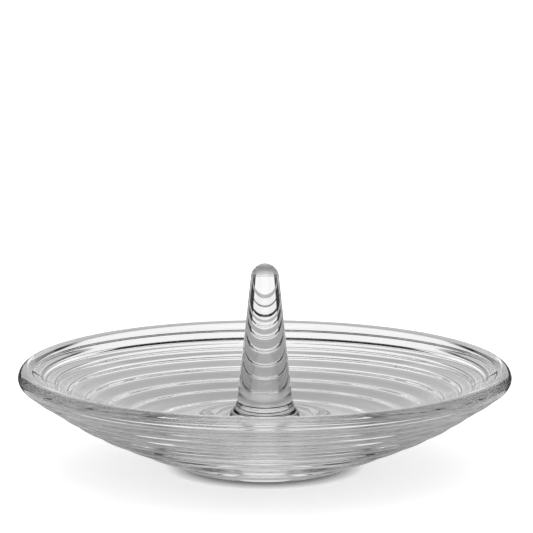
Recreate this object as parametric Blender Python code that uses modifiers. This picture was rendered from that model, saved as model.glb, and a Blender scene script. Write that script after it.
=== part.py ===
"""Clear glass ring holder: a shallow dish with rings stacked under it, and a tapered post in its middle."""

import math

import bpy

# Dish, in metres, with heights taken from the table it stands on
DISH_RADIUS = 0.0635
DISH_HEIGHT = 0.02645
FLOOR_HEIGHT = 0.0125  # the inside floor, next to the post
FLOOR_CURVE_POWER = 2.37  # how late the inside turns up towards the rim
RIM_BEAD_RADIUS = 0.0024
RIM_INNER_ANGLE = math.radians(130)  # where the inside surface runs into the rim bead
RIM_UNDER_ANGLE = math.radians(-84)  # where the outermost ring runs into the rim bead
FOOT_RADIUS = 0.0174

# Rings on the underside: where each one ends, as a share of the run from the foot to the rim bead
RING_END_SHARES = (0.231, 0.415, 0.542, 0.666, 0.78, 0.861, 0.928, 1)
RING_BULGE_SHARE = 0.136  # a ring's height above its two grooves, as a share of its width
FIRST_RING_BULGE_SHARE = 0.095  # the same for the ring next to the foot
RING_CREST_SHARE = 0.035  # how much of it stands outside the underside's own curve
GROOVE_ROUND_SHARE = 0.42  # how much of each half of a ring rounds into its groove
UNDERSIDE_CONE_SHARE = 0.694  # the share of the underside's rise that is straight; the rest is cubic

# Post, which stands on a flared boss that rises from the dish's floor
POST_HEIGHT = 0.0531
POST_SEAT_HEIGHT = 0.018
POST_FOOT_RADIUS = 0.00707
POST_TIP_RADIUS = 0.0036
SEAT_GAP = 0.0003

# How finely the curves are drawn
DISH_STEPS = 64
POST_STEPS = 32
RING_SEGMENTS = 8
RIM_SEGMENTS = 3  # in each of the rim bead's three stretches
FLOOR_SEGMENTS = 12
FLARE_SEGMENTS = 6
DOME_SEGMENTS = 6
POLE_MERGE = 0.00001
CREASE_ANGLE = math.radians(12)


def arc(centre, radius, start, end, segments):
    """Points along a circular arc, with both its ends."""
    angles = [start + (end - start) * i / segments for i in range(segments + 1)]
    return [(centre[0] + radius * math.cos(a), centre[1] + radius * math.sin(a)) for a in angles]


def post_taper():
    """The angle by which the post's side leans in, so that it meets the round tip with no corner."""
    tip_centre = POST_HEIGHT - POST_TIP_RADIUS
    slant = math.hypot(POST_FOOT_RADIUS, tip_centre - POST_SEAT_HEIGHT)
    lean_of_centre_line = math.atan2(POST_FOOT_RADIUS, tip_centre - POST_SEAT_HEIGHT)
    return lean_of_centre_line - math.asin(POST_TIP_RADIUS / slant)


def rim_centre():
    """Centre of the rim bead's round section."""
    return DISH_RADIUS - RIM_BEAD_RADIUS, DISH_HEIGHT - RIM_BEAD_RADIUS


def rim_bead():
    """The rim's round section, with a point at its very top and at its widest."""
    corners = (RIM_INNER_ANGLE, math.pi / 2, 0, RIM_UNDER_ANGLE)
    points = []
    for start, end in zip(corners, corners[1:]):
        points = points[:-1] + arc(rim_centre(), RIM_BEAD_RADIUS, start, end, RIM_SEGMENTS)
    return points


def flare():
    """The boss under the post: an arc that continues the post's side and runs out level to the floor."""
    top = POST_SEAT_HEIGHT - SEAT_GAP
    taper = post_taper()
    radius = (top - FLOOR_HEIGHT) / (1 - math.sin(taper))
    centre = (POST_FOOT_RADIUS + radius * math.cos(taper), FLOOR_HEIGHT + radius)
    return arc(centre, radius, math.pi + taper, 1.5 * math.pi, FLARE_SEGMENTS)


def floor_curve(start, end):
    """The smooth inside of the dish, level at the flare and steeper and steeper towards the rim."""
    points = []
    for i in range(1, FLOOR_SEGMENTS):
        share = i / FLOOR_SEGMENTS
        radius = start[0] + (end[0] - start[0]) * share
        height = start[1] + (end[1] - start[1]) * share**FLOOR_CURVE_POWER
        points.append((radius, height))
    return points


def underside_point(share, rim_end):
    """A ring's end on the underside, at this share of the run from the foot's edge to the rim bead."""
    radius = FOOT_RADIUS + (rim_end[0] - FOOT_RADIUS) * share
    rise = UNDERSIDE_CONE_SHARE * share + (1 - UNDERSIDE_CONE_SHARE) * share**3
    return radius, rim_end[1] * rise


def sink_grooves(ends):
    """The rings' ends, with those between two rings set deeper, so that the crests lie near the curve."""
    sunk = [ends[0]]
    for before, here, after in zip(ends, ends[1:], ends[2:]):
        width = (math.dist(before, here) + math.dist(here, after)) / 2
        depth = (RING_BULGE_SHARE - RING_CREST_SHARE) * width / math.dist(before, after)
        sunk.append((here[0] - (after[1] - before[1]) * depth, here[1] + (after[0] - before[0]) * depth))
    return sunk + [ends[-1]]


def ring_height(share, round_share):
    """Height of a ring's face at this share of its width, from 0 at its ends to 1 on its crest."""
    side = abs(2 * share - 1)
    crest = 1 - round_share
    past = max(0, side - crest)
    drop = min(side, crest)**2 + 2 * crest * past
    if past:
        drop -= crest * past**2 / round_share
    return 1 - drop / crest


def ring(outer, inner, bulge_share):
    """One ring's rounded face, from its outer end down to its inner end, without the outer end itself."""
    run, drop = outer[0] - inner[0], outer[1] - inner[1]
    points = []
    for i in range(1, RING_SEGMENTS + 1):
        share = i / RING_SEGMENTS
        on_foot = inner[1] == 0 and share > 1 / 2
        bulge = bulge_share * ring_height(share, 0 if on_foot else GROOVE_ROUND_SHARE)
        height = outer[1] - drop * share - run * bulge
        points.append((outer[0] - run * share + drop * bulge, max(0, height)))
    return points


def dish_profile():
    """Half section of the dish: out from its boss to the rim, and down over the rings to the foot."""
    rim = rim_bead()
    boss = flare()
    profile = [(0, boss[0][1])] + boss + floor_curve(boss[-1], rim[0]) + rim
    ends = sink_grooves([underside_point(share, rim[-1]) for share in (0,) + RING_END_SHARES])
    for outer, inner in zip(ends[:1:-1], ends[-2:0:-1]):
        profile += ring(outer, inner, RING_BULGE_SHARE)
    profile += ring(ends[1], ends[0], FIRST_RING_BULGE_SHARE)
    return profile + [(0, 0)]


def post_profile():
    """Half section of the post above its seat, from the round tip down the tapered side."""
    tip_centre = (0, POST_HEIGHT - POST_TIP_RADIUS - POST_SEAT_HEIGHT)
    dome = arc(tip_centre, POST_TIP_RADIUS, math.pi / 2, post_taper(), DOME_SEGMENTS)
    return [(0, dome[0][1])] + dome[1:] + [(POST_FOOT_RADIUS, 0), (0, 0)]


def turned_mesh(name, profile, steps):
    """The profile turned once round Z, shaded smooth with crisp creases."""
    edges = [(i, i + 1) for i in range(len(profile) - 1)]
    outline = bpy.data.meshes.new(name + "_outline")
    outline.from_pydata([(radius, 0, height) for radius, height in profile], edges, [])
    guide = bpy.data.objects.new(name + "_outline", outline)
    bpy.context.scene.collection.objects.link(guide)
    screw = guide.modifiers.new("Turn", "SCREW")
    screw.steps = screw.render_steps = steps
    screw.use_merge_vertices = True
    screw.merge_threshold = POLE_MERGE
    mesh = bpy.data.meshes.new_from_object(guide.evaluated_get(bpy.context.evaluated_depsgraph_get()))
    mesh.name = name
    mesh.shade_smooth()
    mesh.set_sharp_from_angle(angle=CREASE_ANGLE)
    bpy.data.objects.remove(guide)
    return mesh


def clear_glass(name):
    """Colourless pressed glass with a polished surface."""
    material = bpy.data.materials.new(name)
    material.use_nodes = True
    shader = material.node_tree.nodes["Principled BSDF"].inputs
    shader["Base Color"].default_value = (0.96, 0.97, 0.97, 1)
    shader["Roughness"].default_value = 0.02
    shader["Metallic"].default_value = 0
    shader["Transmission Weight"].default_value = 1
    shader["IOR"].default_value = 1.52
    return material


def add_part(name, mesh, collection, parent=None, height=0):
    part = bpy.data.objects.new(name, mesh)
    mesh.materials.append(clear_glass(name + "_glass"))
    part.location.z = height
    part.parent = parent
    collection.objects.link(part)
    return part


def main():
    for obj in list(bpy.data.objects):
        bpy.data.objects.remove(obj)
    collection = bpy.data.collections.new("ring_holder")
    bpy.context.scene.collection.children.link(collection)
    dish = add_part("dish", turned_mesh("dish", dish_profile(), DISH_STEPS), collection)
    post_mesh = turned_mesh("ring_post", post_profile(), POST_STEPS)
    add_part("ring_post", post_mesh, collection, dish, POST_SEAT_HEIGHT)


main()
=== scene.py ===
import math

import bpy
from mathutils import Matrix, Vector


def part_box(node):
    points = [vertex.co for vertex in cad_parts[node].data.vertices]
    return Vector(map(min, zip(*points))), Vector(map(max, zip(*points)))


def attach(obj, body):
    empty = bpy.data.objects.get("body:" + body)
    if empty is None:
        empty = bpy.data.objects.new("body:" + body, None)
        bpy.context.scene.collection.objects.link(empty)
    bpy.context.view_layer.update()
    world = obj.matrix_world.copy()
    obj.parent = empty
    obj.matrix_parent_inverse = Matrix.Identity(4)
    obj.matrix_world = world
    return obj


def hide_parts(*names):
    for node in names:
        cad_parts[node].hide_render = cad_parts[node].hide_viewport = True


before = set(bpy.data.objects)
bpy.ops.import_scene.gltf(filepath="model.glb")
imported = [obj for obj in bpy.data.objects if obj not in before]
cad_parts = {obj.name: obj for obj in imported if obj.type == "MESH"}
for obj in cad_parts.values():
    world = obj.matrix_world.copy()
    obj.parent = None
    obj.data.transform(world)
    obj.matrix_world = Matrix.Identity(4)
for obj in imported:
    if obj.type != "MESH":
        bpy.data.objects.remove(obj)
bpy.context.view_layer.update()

mm = 0.001
dishLow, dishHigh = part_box("dish")
postLow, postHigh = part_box("ring_post")


# Shared helpers

def arcPoints(centre, radius, start, end, count):  # along an arc, with both its ends
    angles = [start + (end - start) * i / count for i in range(count + 1)]
    return [(centre[0] + radius * math.cos(a), centre[1] + radius * math.sin(a)) for a in angles]


def turnOutline(name, outline, steps):  # a half section, drawn vertex by vertex and spun once round Z
    bpy.ops.object.select_all(action="DESELECT")
    bpy.ops.mesh.primitive_plane_add(size=1 * mm, location=(outline[0][0], 0, outline[0][1]))
    piece = bpy.context.object
    piece.name = piece.data.name = name
    bpy.ops.object.mode_set(mode="EDIT")
    bpy.ops.mesh.select_all(action="SELECT")
    bpy.ops.mesh.merge(type="CENTER")
    for here, there in zip(outline, outline[1:]):
        step = (there[0] - here[0], 0, there[1] - here[1])
        bpy.ops.mesh.extrude_vertices_move(TRANSFORM_OT_translate={"value": step})
    bpy.ops.mesh.select_all(action="SELECT")
    bpy.ops.mesh.spin(steps=steps, angle=2 * math.pi, center=(0, 0, 0), axis=(0, 0, 1))
    bpy.ops.mesh.select_all(action="SELECT")
    bpy.ops.mesh.remove_doubles(threshold=0.001 * mm)
    bpy.ops.mesh.normals_make_consistent(inside=False)
    bpy.ops.object.mode_set(mode="OBJECT")
    bpy.ops.object.transform_apply(location=True, rotation=True, scale=True)
    bpy.ops.object.shade_smooth_by_angle(angle=math.radians(35))
    return piece


def linearColour(hexColour):  # an sRGB hex colour as linear RGBA
    channels = [int(hexColour[i:i + 2], 16) / 255 for i in (1, 3, 5)]
    return [c / 12.92 if c <= 0.04045 else ((c + 0.055) / 1.055) ** 2.4 for c in channels] + [1]


def addNode(tree, kind, settings, links):  # one node: its settings, its socket values and what feeds it
    node = tree.nodes.new(kind)
    for key, value in settings.items():
        if isinstance(key, int) or key in node.inputs:
            node.inputs[key].default_value = value
        else:
            setattr(node, key, value)
    for key, source in links.items():
        tree.links.new(source, node.inputs[key])
    return node


def newMaterial(name):
    material = bpy.data.materials.new(name)
    material.use_nodes = True
    material.node_tree.nodes.clear()
    return material, material.node_tree


# Dish: one pressing of clear glass, smooth inside, with stacked rings outside

dish = {
    "radius": dishHigh.x,
    "height": dishHigh.z,
    "floorHeight": 12.5 * mm,
    "floorCurvePower": 2.37,  # how late the inside turns up towards the rim
    "rimBeadRadius": 2.4 * mm,
    "rimInnerAngle": math.radians(130),
    "rimUnderAngle": math.radians(-84),
    "footRadius": 17.4 * mm,
    "ringEndShares": (0.231, 0.415, 0.542, 0.666, 0.78, 0.861, 0.928, 1),
    "ringBulgeShare": 0.136,  # a ring's height above its grooves, over its width
    "firstRingBulgeShare": 0.095,  # the same for the ring next to the foot
    "ringCrestShare": 0.035,  # how much of it stands outside the underside's curve
    "grooveRoundShare": 0.42,  # how much of a ring's half width rounds into the groove
    "undersideConeShare": 0.694,
    "turnSteps": 360,
    "ringPoints": 20,
    "rimPoints": 32,
    "floorPoints": 46,
    "flarePoints": 18,
}

post = {
    "height": postHigh.z,
    "seatHeight": postLow.z,
    "footRadius": 7.07 * mm,
    "tipRadius": 3.6 * mm,
    "turnSteps": 256,
    "sidePoints": 24,
    "domePoints": 24,
}


def postLean():  # how far the post's side leans in, so that it runs into the round tip with no corner
    rise = post["height"] - post["tipRadius"] - post["seatHeight"]
    slant = math.hypot(post["footRadius"], rise)
    return math.atan2(post["footRadius"], rise) - math.asin(post["tipRadius"] / slant)


def rimBead():  # the round rim, from its underside over the top to its inner side
    centre = (dish["radius"] - dish["rimBeadRadius"], dish["height"] - dish["rimBeadRadius"])
    start, end = dish["rimUnderAngle"], dish["rimInnerAngle"]
    return arcPoints(centre, dish["rimBeadRadius"], start, end, dish["rimPoints"])


def undersideEnds(rimEnd):  # where the rings end, on a curve that steepens from the foot to the rim
    ends = []
    for share in (0,) + dish["ringEndShares"]:
        rise = dish["undersideConeShare"] * share + (1 - dish["undersideConeShare"]) * share**3
        ends.append((dish["footRadius"] + (rimEnd[0] - dish["footRadius"]) * share, rimEnd[1] * rise))
    return ends


def sinkGrooves(ends):  # sets the ends between two rings deeper, so that the crests stay on the outline
    sunk = [ends[0]]
    for before, here, after in zip(ends, ends[1:], ends[2:]):
        width = (math.dist(before, here) + math.dist(here, after)) / 2
        depth = (dish["ringBulgeShare"] - dish["ringCrestShare"]) * width / math.dist(before, after)
        radius = here[0] - (after[1] - before[1]) * depth
        height = here[1] + (after[0] - before[0]) * depth
        sunk.append((radius, height))
    return sunk + [ends[-1]]


def ringHeight(share, roundShare):  # from 0 at a ring's ends to 1 on its crest
    side = abs(2 * share - 1)
    crest = 1 - roundShare
    past = max(0, side - crest)
    drop = min(side, crest)**2 + 2 * crest * past
    if past:
        drop -= crest * past**2 / roundShare
    return 1 - drop / crest


def ringFace(inner, outer, bulgeShare):  # one ring, from its inner end out, without the outer end
    run, rise = outer[0] - inner[0], outer[1] - inner[1]
    points = []
    for i in range(dish["ringPoints"]):
        share = i / dish["ringPoints"]
        onFoot = inner[1] == 0 and share < 0.5
        bulge = bulgeShare * ringHeight(share, 0 if onFoot else dish["grooveRoundShare"])
        height = inner[1] + rise * share - run * bulge
        points.append((inner[0] + run * share + rise * bulge, max(0, height)))
    return points


def undersideRings(rimEnd):  # eight rounded rings, from the foot up to the rim
    ends = sinkGrooves(undersideEnds(rimEnd))
    points = ringFace(ends[0], ends[1], dish["firstRingBulgeShare"])
    for inner, outer in zip(ends[1:], ends[2:]):
        points += ringFace(inner, outer, dish["ringBulgeShare"])
    return points


def dishOutline():  # from the middle of the foot out, over the rim, down the inside and up the boss
    rim = rimBead()
    lean = postLean()
    flareRadius = (post["seatHeight"] - dish["floorHeight"]) / (1 - math.sin(lean))
    flareCentre = (post["footRadius"] + flareRadius * math.cos(lean), dish["floorHeight"] + flareRadius)
    flare = arcPoints(flareCentre, flareRadius, 1.5 * math.pi, math.pi + lean, dish["flarePoints"])
    inside = []
    for i in range(1, dish["floorPoints"]):
        share = 1 - i / dish["floorPoints"]
        radius = flare[0][0] + (rim[-1][0] - flare[0][0]) * share
        height = flare[0][1] + (rim[-1][1] - flare[0][1]) * share ** dish["floorCurvePower"]
        inside.append((radius, height))
    return [(0, 0)] + undersideRings(rim[0]) + rim + inside + flare + [(0, flare[-1][1])]


def postOutline():  # from the middle of the flat foot out, up the tapered side and over the round tip
    lean = postLean()
    centre = (0, post["height"] - post["tipRadius"])
    dome = arcPoints(centre, post["tipRadius"], lean, math.pi / 2, post["domePoints"])
    foot = (post["footRadius"], post["seatHeight"])
    side = []
    for i in range(post["sidePoints"]):
        share = i / post["sidePoints"]
        radius = foot[0] + (dome[0][0] - foot[0]) * share
        height = foot[1] + (dome[0][1] - foot[1]) * share
        side.append((radius, height))
    return [(0, foot[1])] + side + dome[:-1] + [(0, dome[-1][1])]


# Glass

glass = {
    "tint": "#ffffff",
    "roughness": 0.0,
    "ior": 1.52,  # soda-lime glass
    "rippleLength": 14 * mm,
    "rippleDepth": 0.003 * mm,
    "shadowTint": "#f2f2f2",
}


def pressedClearGlass(name):  # pressed, fire-polished soda-lime glass: clear, glossy, a little wavy
    material, tree = newMaterial(name)
    place = addNode(tree, "ShaderNodeTexCoord", {}, {})
    ripple = addNode(tree, "ShaderNodeTexNoise", {"Scale": 1 / glass["rippleLength"], "Detail": 1.0},
                     {"Vector": place.outputs["Object"]})
    wave = addNode(tree, "ShaderNodeBump", {"Strength": 1.0, "Distance": glass["rippleDepth"]},
                   {"Height": ripple.outputs["Fac"]})
    body = addNode(tree, "ShaderNodeBsdfPrincipled", {
        "Base Color": linearColour(glass["tint"]), "Roughness": glass["roughness"], "IOR": glass["ior"],
        "Transmission Weight": 1.0}, {"Normal": wave.outputs["Normal"]})
    lampRays = addNode(tree, "ShaderNodeLightPath", {}, {})
    clear = addNode(tree, "ShaderNodeBsdfTransparent", {"Color": linearColour(glass["shadowTint"])}, {})
    mixed = addNode(tree, "ShaderNodeMixShader", {},
                    {0: lampRays.outputs["Is Shadow Ray"], 1: body.outputs[0], 2: clear.outputs[0]})
    addNode(tree, "ShaderNodeOutputMaterial", {}, {"Surface": mixed.outputs[0]})
    return material


def opticalBond(name):  # the clear joint under the post has glass's own index, so it can't be seen
    material, tree = newMaterial(name)
    clear = addNode(tree, "ShaderNodeBsdfPrincipled", {"Alpha": 0.0, "IOR": glass["ior"]}, {})
    addNode(tree, "ShaderNodeOutputMaterial", {}, {"Surface": clear.outputs[0]})
    return material


def finishGlass(piece, glassName, seat):  # glass all over, with the clear bond on the face at the seat
    piece.data.materials.append(pressedClearGlass(glassName))
    piece.data.materials.append(opticalBond(glassName + "_bond"))
    for face in piece.data.polygons:
        onJoint = abs(face.center.z - seat) < 0.001 * mm and abs(face.normal.z) > 0.99
        face.material_index = 1 if onJoint else 0


bowl = turnOutline("glass_dish", dishOutline(), dish["turnSteps"])
finishGlass(bowl, "pressed_clear_glass", post["seatHeight"])
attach(bowl, "root")
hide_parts("dish")
print("dish turned:", len(bowl.data.polygons), "faces")

finger = turnOutline("glass_ring_post", postOutline(), post["turnSteps"])
finishGlass(finger, "clear_post_glass", post["seatHeight"])
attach(finger, "root")
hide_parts("ring_post")
print("post turned:", len(finger.data.polygons), "faces")


# Studio: a white floor and soft light all round, with black cards and a grey disc of painted shade
# under the dish, which only the glass sees

studio = {
    "floorSize": 12,
    "floorDrop": 0.1 * mm,  # keeps it just under the foot
    "floorPaint": "#e8e8e8",
    "floorGlow": 0.57,
    "contactReach": 2.8 * mm,  # how near the glass must be for the floor to darken under it
    # grey of the painted contact shadow, where the glass hems the floor in fully
    "contactShadowGrey": "#606060",
    "contactPower": 0.5,  # below 1, the shadow falls off faster away from the foot
    "contactSamples": 8,
    "cardSides": 180,
    "shadeDiscRadius": 88 * mm,
    "shadeDiscDrop": 0.05 * mm,
    "shadeDiscGreys": ((0.0, "#9c9c9c"), (0.12, "#9c9c9c"), (0.17, "#b4b4b4"), (0.28, "#b4b4b4"),
                   (0.45, "#8c8c8c"), (0.62, "#9c9c9c"), (1.0, "#c0c0c0")),  # by radius: painted shade of the dish on the floor under it, in lighter and darker rings
    "edgeRadius": 250 * mm,
    "edgeHeight": 42 * mm,
    "edgeGrey": "#020202",
    "floorWhite": "#ffffff",
    "floorCornerGrey": "#242424",
    "floorCorner": (0.58, 0.66),  # where it starts and is full: 0 straight ahead, 1 in the corner
    "panelHalfWidth": 0.45,  # of a light panel, over its distance
    "panelMiddle": 0.4,  # height of its middle, over its distance
    "panelHalfHeight": 1.3,
    "panelEdge": 0.05,  # how softly it ends
    "panelWhite": "#ffffff",
    "sidePanelWhite": "#c0c0c0",
    "surroundGrey": "#383838",
    "surroundBlack": "#020202",
    "surroundTurn": (0.1, 0.3),  # height where the grey starts to go black, and where it is
    "skyLight": 1.0,
}


def glassOnly(card):  # seen through and in the glass, but not by the camera, and it throws no shadow
    card.visible_camera = card.visible_diffuse = card.visible_shadow = False


def setRamp(ramp, greys):  # greys: pairs of position and sRGB hex colour
    stops = ramp.color_ramp.elements
    stops[0].position, stops[0].color = greys[0][0], linearColour(greys[0][1])
    stops[1].position, stops[1].color = greys[-1][0], linearColour(greys[-1][1])
    for place, hexColour in greys[1:-1]:
        stops.new(place).color = linearColour(hexColour)


def glowMaterial(name, hexColour):  # a plain card that shows this colour in any light
    material, tree = newMaterial(name)
    glow = addNode(tree, "ShaderNodeEmission", {"Color": linearColour(hexColour)}, {})
    addNode(tree, "ShaderNodeOutputMaterial", {}, {"Surface": glow.outputs[0]})
    return material


def cornerShare(tree, place):  # 0 along X or Y and 1 in the corners; the height; 1 on the X sides
    flat = addNode(tree, "ShaderNodeSeparateXYZ", {}, {0: place})
    along = addNode(tree, "ShaderNodeMath", {"operation": "ABSOLUTE"}, {0: flat.outputs["X"]})
    across = addNode(tree, "ShaderNodeMath", {"operation": "ABSOLUTE"}, {0: flat.outputs["Y"]})
    near = addNode(tree, "ShaderNodeMath", {"operation": "MINIMUM"},
                   {0: along.outputs[0], 1: across.outputs[0]})
    far = addNode(tree, "ShaderNodeMath", {"operation": "MAXIMUM"},
                  {0: along.outputs[0], 1: across.outputs[0]})
    share = addNode(tree, "ShaderNodeMath", {"operation": "DIVIDE"},
                    {0: near.outputs[0], 1: far.outputs[0]})
    height = addNode(tree, "ShaderNodeMath", {"operation": "DIVIDE"},
                     {0: flat.outputs["Z"], 1: far.outputs[0]})
    aside = addNode(tree, "ShaderNodeMath", {"operation": "GREATER_THAN"},
                    {0: along.outputs[0], 1: across.outputs[0]})
    return share.outputs[0], height.outputs[0], aside.outputs[0]


def stageFloor():
    bpy.ops.object.select_all(action="DESELECT")
    bpy.ops.mesh.primitive_plane_add(size=studio["floorSize"], location=(0, 0, -studio["floorDrop"]))
    floor = bpy.context.object
    floor.name = "studio_floor"
    material, tree = newMaterial("white_floor_paint")
    rays = addNode(tree, "ShaderNodeLightPath", {}, {})
    # painted contact shadow: ambient occlusion near the glass darkens both the floor's paint and its
    # glow
    clearance = addNode(tree, "ShaderNodeAmbientOcclusion", {
        "Distance": studio["contactReach"], "samples": studio["contactSamples"]}, {})
    falloff = addNode(tree, "ShaderNodeMath", {"operation": "POWER", 1: studio["contactPower"]},
                      {0: clearance.outputs["AO"]})
    contact = addNode(tree, "ShaderNodeMix", {
        "data_type": "RGBA", 6: linearColour(studio["contactShadowGrey"]), 7: (1, 1, 1, 1)},
        {0: falloff.outputs[0]})
    glowing = addNode(tree, "ShaderNodeMath", {"operation": "MULTIPLY", 1: studio["floorGlow"]},
                      {0: rays.outputs["Is Camera Ray"]})
    glow = addNode(tree, "ShaderNodeEmission", {},
                   {"Color": contact.outputs[2], "Strength": glowing.outputs[0]})
    painted = addNode(tree, "ShaderNodeMix", {
        "data_type": "RGBA", "blend_type": "MULTIPLY", 0: 1.0, 7: linearColour(studio["floorPaint"])},
        {6: contact.outputs[2]})
    paint = addNode(tree, "ShaderNodeBsdfDiffuse", {}, {"Color": painted.outputs[2]})
    lit = addNode(tree, "ShaderNodeAddShader", {}, {0: paint.outputs[0], 1: glow.outputs[0]})
    place = addNode(tree, "ShaderNodeTexCoord", {}, {})
    corner = cornerShare(tree, place.outputs["Object"])[0]
    ramp = addNode(tree, "ShaderNodeValToRGB", {}, {0: corner})
    start, full = studio["floorCorner"]
    setRamp(ramp, ((start, studio["floorWhite"]), (full, studio["floorCornerGrey"])))
    shown = addNode(tree, "ShaderNodeEmission", {}, {"Color": ramp.outputs[0]})
    inGlass = addNode(tree, "ShaderNodeMath", {"operation": "MAXIMUM"},
                      {0: rays.outputs["Is Glossy Ray"], 1: rays.outputs["Is Transmission Ray"]})
    both = addNode(tree, "ShaderNodeMixShader", {},
                   {0: inGlass.outputs[0], 1: lit.outputs[0], 2: shown.outputs[0]})
    addNode(tree, "ShaderNodeOutputMaterial", {}, {"Surface": both.outputs[0]})
    floor.data.materials.append(material)


# a grey disc of painted shade under the dish: it stands for the dish's shadow on the floor, and only
# the glass sees it
def stageShadeDisc():
    bpy.ops.object.select_all(action="DESELECT")
    bpy.ops.mesh.primitive_circle_add(vertices=studio["cardSides"], radius=studio["shadeDiscRadius"],
                                      fill_type="NGON", location=(0, 0, -studio["shadeDiscDrop"]))
    card = bpy.context.object
    card.name = "painted_shade_disc"
    material, tree = newMaterial("shaded_grey_card")
    place = addNode(tree, "ShaderNodeTexCoord", {}, {})
    across = addNode(tree, "ShaderNodeVectorMath", {"operation": "LENGTH"},
                     {0: place.outputs["Object"]})
    share = addNode(tree, "ShaderNodeMath", {"operation": "DIVIDE", 1: studio["shadeDiscRadius"]},
                    {0: across.outputs["Value"]})
    ramp = addNode(tree, "ShaderNodeValToRGB", {}, {0: share.outputs[0]})
    setRamp(ramp, studio["shadeDiscGreys"])
    glow = addNode(tree, "ShaderNodeEmission", {}, {"Color": ramp.outputs[0]})
    addNode(tree, "ShaderNodeOutputMaterial", {}, {"Surface": glow.outputs[0]})
    card.data.materials.append(material)
    glassOnly(card)


def stageEdge():  # the low dark strip all round, where the white floor ends
    bpy.ops.object.select_all(action="DESELECT")
    bpy.ops.mesh.primitive_cylinder_add(vertices=studio["cardSides"], radius=studio["edgeRadius"],
                                        depth=studio["edgeHeight"], end_fill_type="NOTHING",
                                        location=(0, 0, studio["edgeHeight"] / 2))
    strip = bpy.context.object
    strip.name = "dark_edge_strip"
    strip.data.materials.append(glowMaterial("dark_strip", studio["edgeGrey"]))
    glassOnly(strip)


def studioWorld():
    world = bpy.data.worlds.new("soft_studio")
    bpy.context.scene.world = world
    world.use_nodes = True
    tree = world.node_tree
    tree.nodes.clear()
    place = addNode(tree, "ShaderNodeTexCoord", {}, {})
    share, height, aside = cornerShare(tree, place.outputs["Generated"])
    wide = addNode(tree, "ShaderNodeMath", {"operation": "DIVIDE", 1: studio["panelHalfWidth"]},
                   {0: share})
    above = addNode(tree, "ShaderNodeMath", {"operation": "SUBTRACT", 1: studio["panelMiddle"]},
                    {0: height})
    tall = addNode(tree, "ShaderNodeMath", {"operation": "DIVIDE", 1: studio["panelHalfHeight"]},
                   {0: above.outputs[0]})
    spot = addNode(tree, "ShaderNodeCombineXYZ", {}, {"X": wide.outputs[0], "Y": tall.outputs[0]})
    out = addNode(tree, "ShaderNodeVectorMath", {"operation": "LENGTH"}, {0: spot.outputs[0]})
    dark = addNode(tree, "ShaderNodeMapRange", {
        "From Min": 1 - studio["panelEdge"], "From Max": 1 + studio["panelEdge"]},
        {0: out.outputs["Value"]})
    panel = addNode(tree, "ShaderNodeMix", {
        "data_type": "RGBA", 6: linearColour(studio["panelWhite"]),
        7: linearColour(studio["sidePanelWhite"])}, {0: aside})
    start, full = studio["surroundTurn"]
    high = addNode(tree, "ShaderNodeMapRange", {"From Min": start, "From Max": full}, {0: height})
    around = addNode(tree, "ShaderNodeMix", {
        "data_type": "RGBA", 6: linearColour(studio["surroundGrey"]),
        7: linearColour(studio["surroundBlack"])}, {0: high.outputs[0]})
    seen = addNode(tree, "ShaderNodeMix", {"data_type": "RGBA"},
                   {0: dark.outputs[0], 6: panel.outputs[2], 7: around.outputs[2]})
    rays = addNode(tree, "ShaderNodeLightPath", {}, {})
    inGlass = addNode(tree, "ShaderNodeMath", {"operation": "MAXIMUM"},
                      {0: rays.outputs["Is Glossy Ray"], 1: rays.outputs["Is Transmission Ray"]})
    shown = addNode(tree, "ShaderNodeMix", {"data_type": "RGBA", 6: (1, 1, 1, 1)},
                    {0: inGlass.outputs[0], 7: seen.outputs[2]})
    light = addNode(tree, "ShaderNodeBackground", {"Strength": studio["skyLight"]},
                    {"Color": shown.outputs[2]})
    addNode(tree, "ShaderNodeOutputWorld", {}, {"Surface": light.outputs[0]})


stageFloor()
stageShadeDisc()
stageEdge()
studioWorld()
print("studio set")


# Camera, at the photograph's viewing angle

camera = {
    "distance": 889 * mm,  # to the middle of the rim
    "elevation": math.radians(11.84),
    "rimMiddle": 24.25 * mm,
    "rimMiddlePixel": (265.68, 373.62),
    "focalPixels": 3447.6,
    "imagePixels": 533,
    "roll": math.radians(-0.069),
    "sensor": 36,
}


def placeCamera():
    data = bpy.data.cameras.new("studio_camera")
    eye = bpy.data.objects.new("studio_camera", data)
    bpy.context.scene.collection.objects.link(eye)
    middle = camera["imagePixels"] / 2
    drop = math.atan((camera["rimMiddlePixel"][1] - middle) / camera["focalPixels"])
    eye.location.y = -camera["distance"] * math.cos(camera["elevation"])
    eye.location.z = camera["rimMiddle"] + camera["distance"] * math.sin(camera["elevation"])
    eye.rotation_euler = (math.pi / 2 - camera["elevation"] + drop, camera["roll"], 0)
    data.sensor_width = camera["sensor"]
    data.lens = camera["focalPixels"] / camera["imagePixels"] * camera["sensor"]
    data.shift_x = (middle - camera["rimMiddlePixel"][0]) / camera["imagePixels"]
    data.clip_start = 10 * mm
    data.clip_end = 100
    bpy.context.scene.camera = eye


placeCamera()
scene = bpy.context.scene
scene.view_settings.view_transform = "Standard"
scene.cycles.max_bounces = 32
scene.cycles.transmission_bounces = 32
scene.cycles.glossy_bounces = 32
print("camera set")
